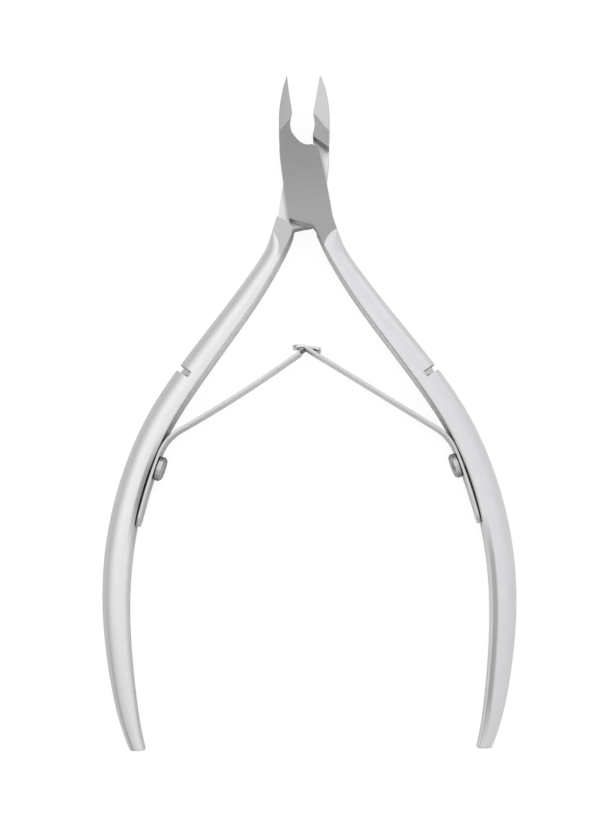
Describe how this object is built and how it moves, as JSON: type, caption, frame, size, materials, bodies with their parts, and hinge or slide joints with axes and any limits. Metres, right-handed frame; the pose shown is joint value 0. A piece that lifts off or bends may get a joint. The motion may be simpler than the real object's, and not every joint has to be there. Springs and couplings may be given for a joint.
{
  "type": "cuticle nipper",
  "caption": "Steel cuticle nipper with a lap joint, bowed handles and two hooked leaf springs that hold it open.",
  "frame": {"origin": "on the front lap plate's flat face, on the pivot axis", "axes": "tool lying flat and open: +Y towards the jaw tips, +X to the right-hand handle, +Z out of the front lap plate"},
  "size_m": [0.07, 0.1155, 0.0068],
  "materials": {
    "satin_steel": "satin, brushed across the lap plates",
    "spring_steel": "polished strip with fine lengthwise lines",
    "screw_steel": "turned and lightly polished"
  },
  "bodies": {
    "rear_body": {"rear_half": "satin_steel", "pivot_pin": "screw_steel", "left_spring_foot": "spring_steel", "left_spring_screw": "screw_steel"},
    "front_body": {"front_half": "satin_steel", "right_spring_foot": "spring_steel", "right_spring_screw": "screw_steel"},
    "left_spring": {"left_spring_arm": "spring_steel"},
    "right_spring": {"right_spring_arm": "spring_steel"}
  },
  "joints": [
    {"name": "jaw_hinge", "type": "hinge", "parent": "rear_body", "child": "front_body", "pos_m": [0, 0, -0.0032], "axis": [0, 0, 1], "range_deg": [-16.7, 0], "stiffness_Nm_per_rad": 0.8, "springref_deg": 5.73},
    {"name": "left_spring_flex", "type": "hinge", "parent": "rear_body", "child": "left_spring", "pos_m": [-0.02385, -0.04414, -0.0032], "axis": [0, 0, 1], "range_deg": [0, 11.7]},
    {"name": "right_spring_flex", "type": "hinge", "parent": "front_body", "child": "right_spring", "pos_m": [0.024, -0.04432, -0.0032], "axis": [0, 0, 1], "range_deg": [-11.6, 0]}
  ],
  "couplings": [
    {"joint": "left_spring_flex", "follows": "jaw_hinge", "ratio": -0.697},
    {"joint": "right_spring_flex", "follows": "jaw_hinge", "ratio": 0.69}
  ]
}
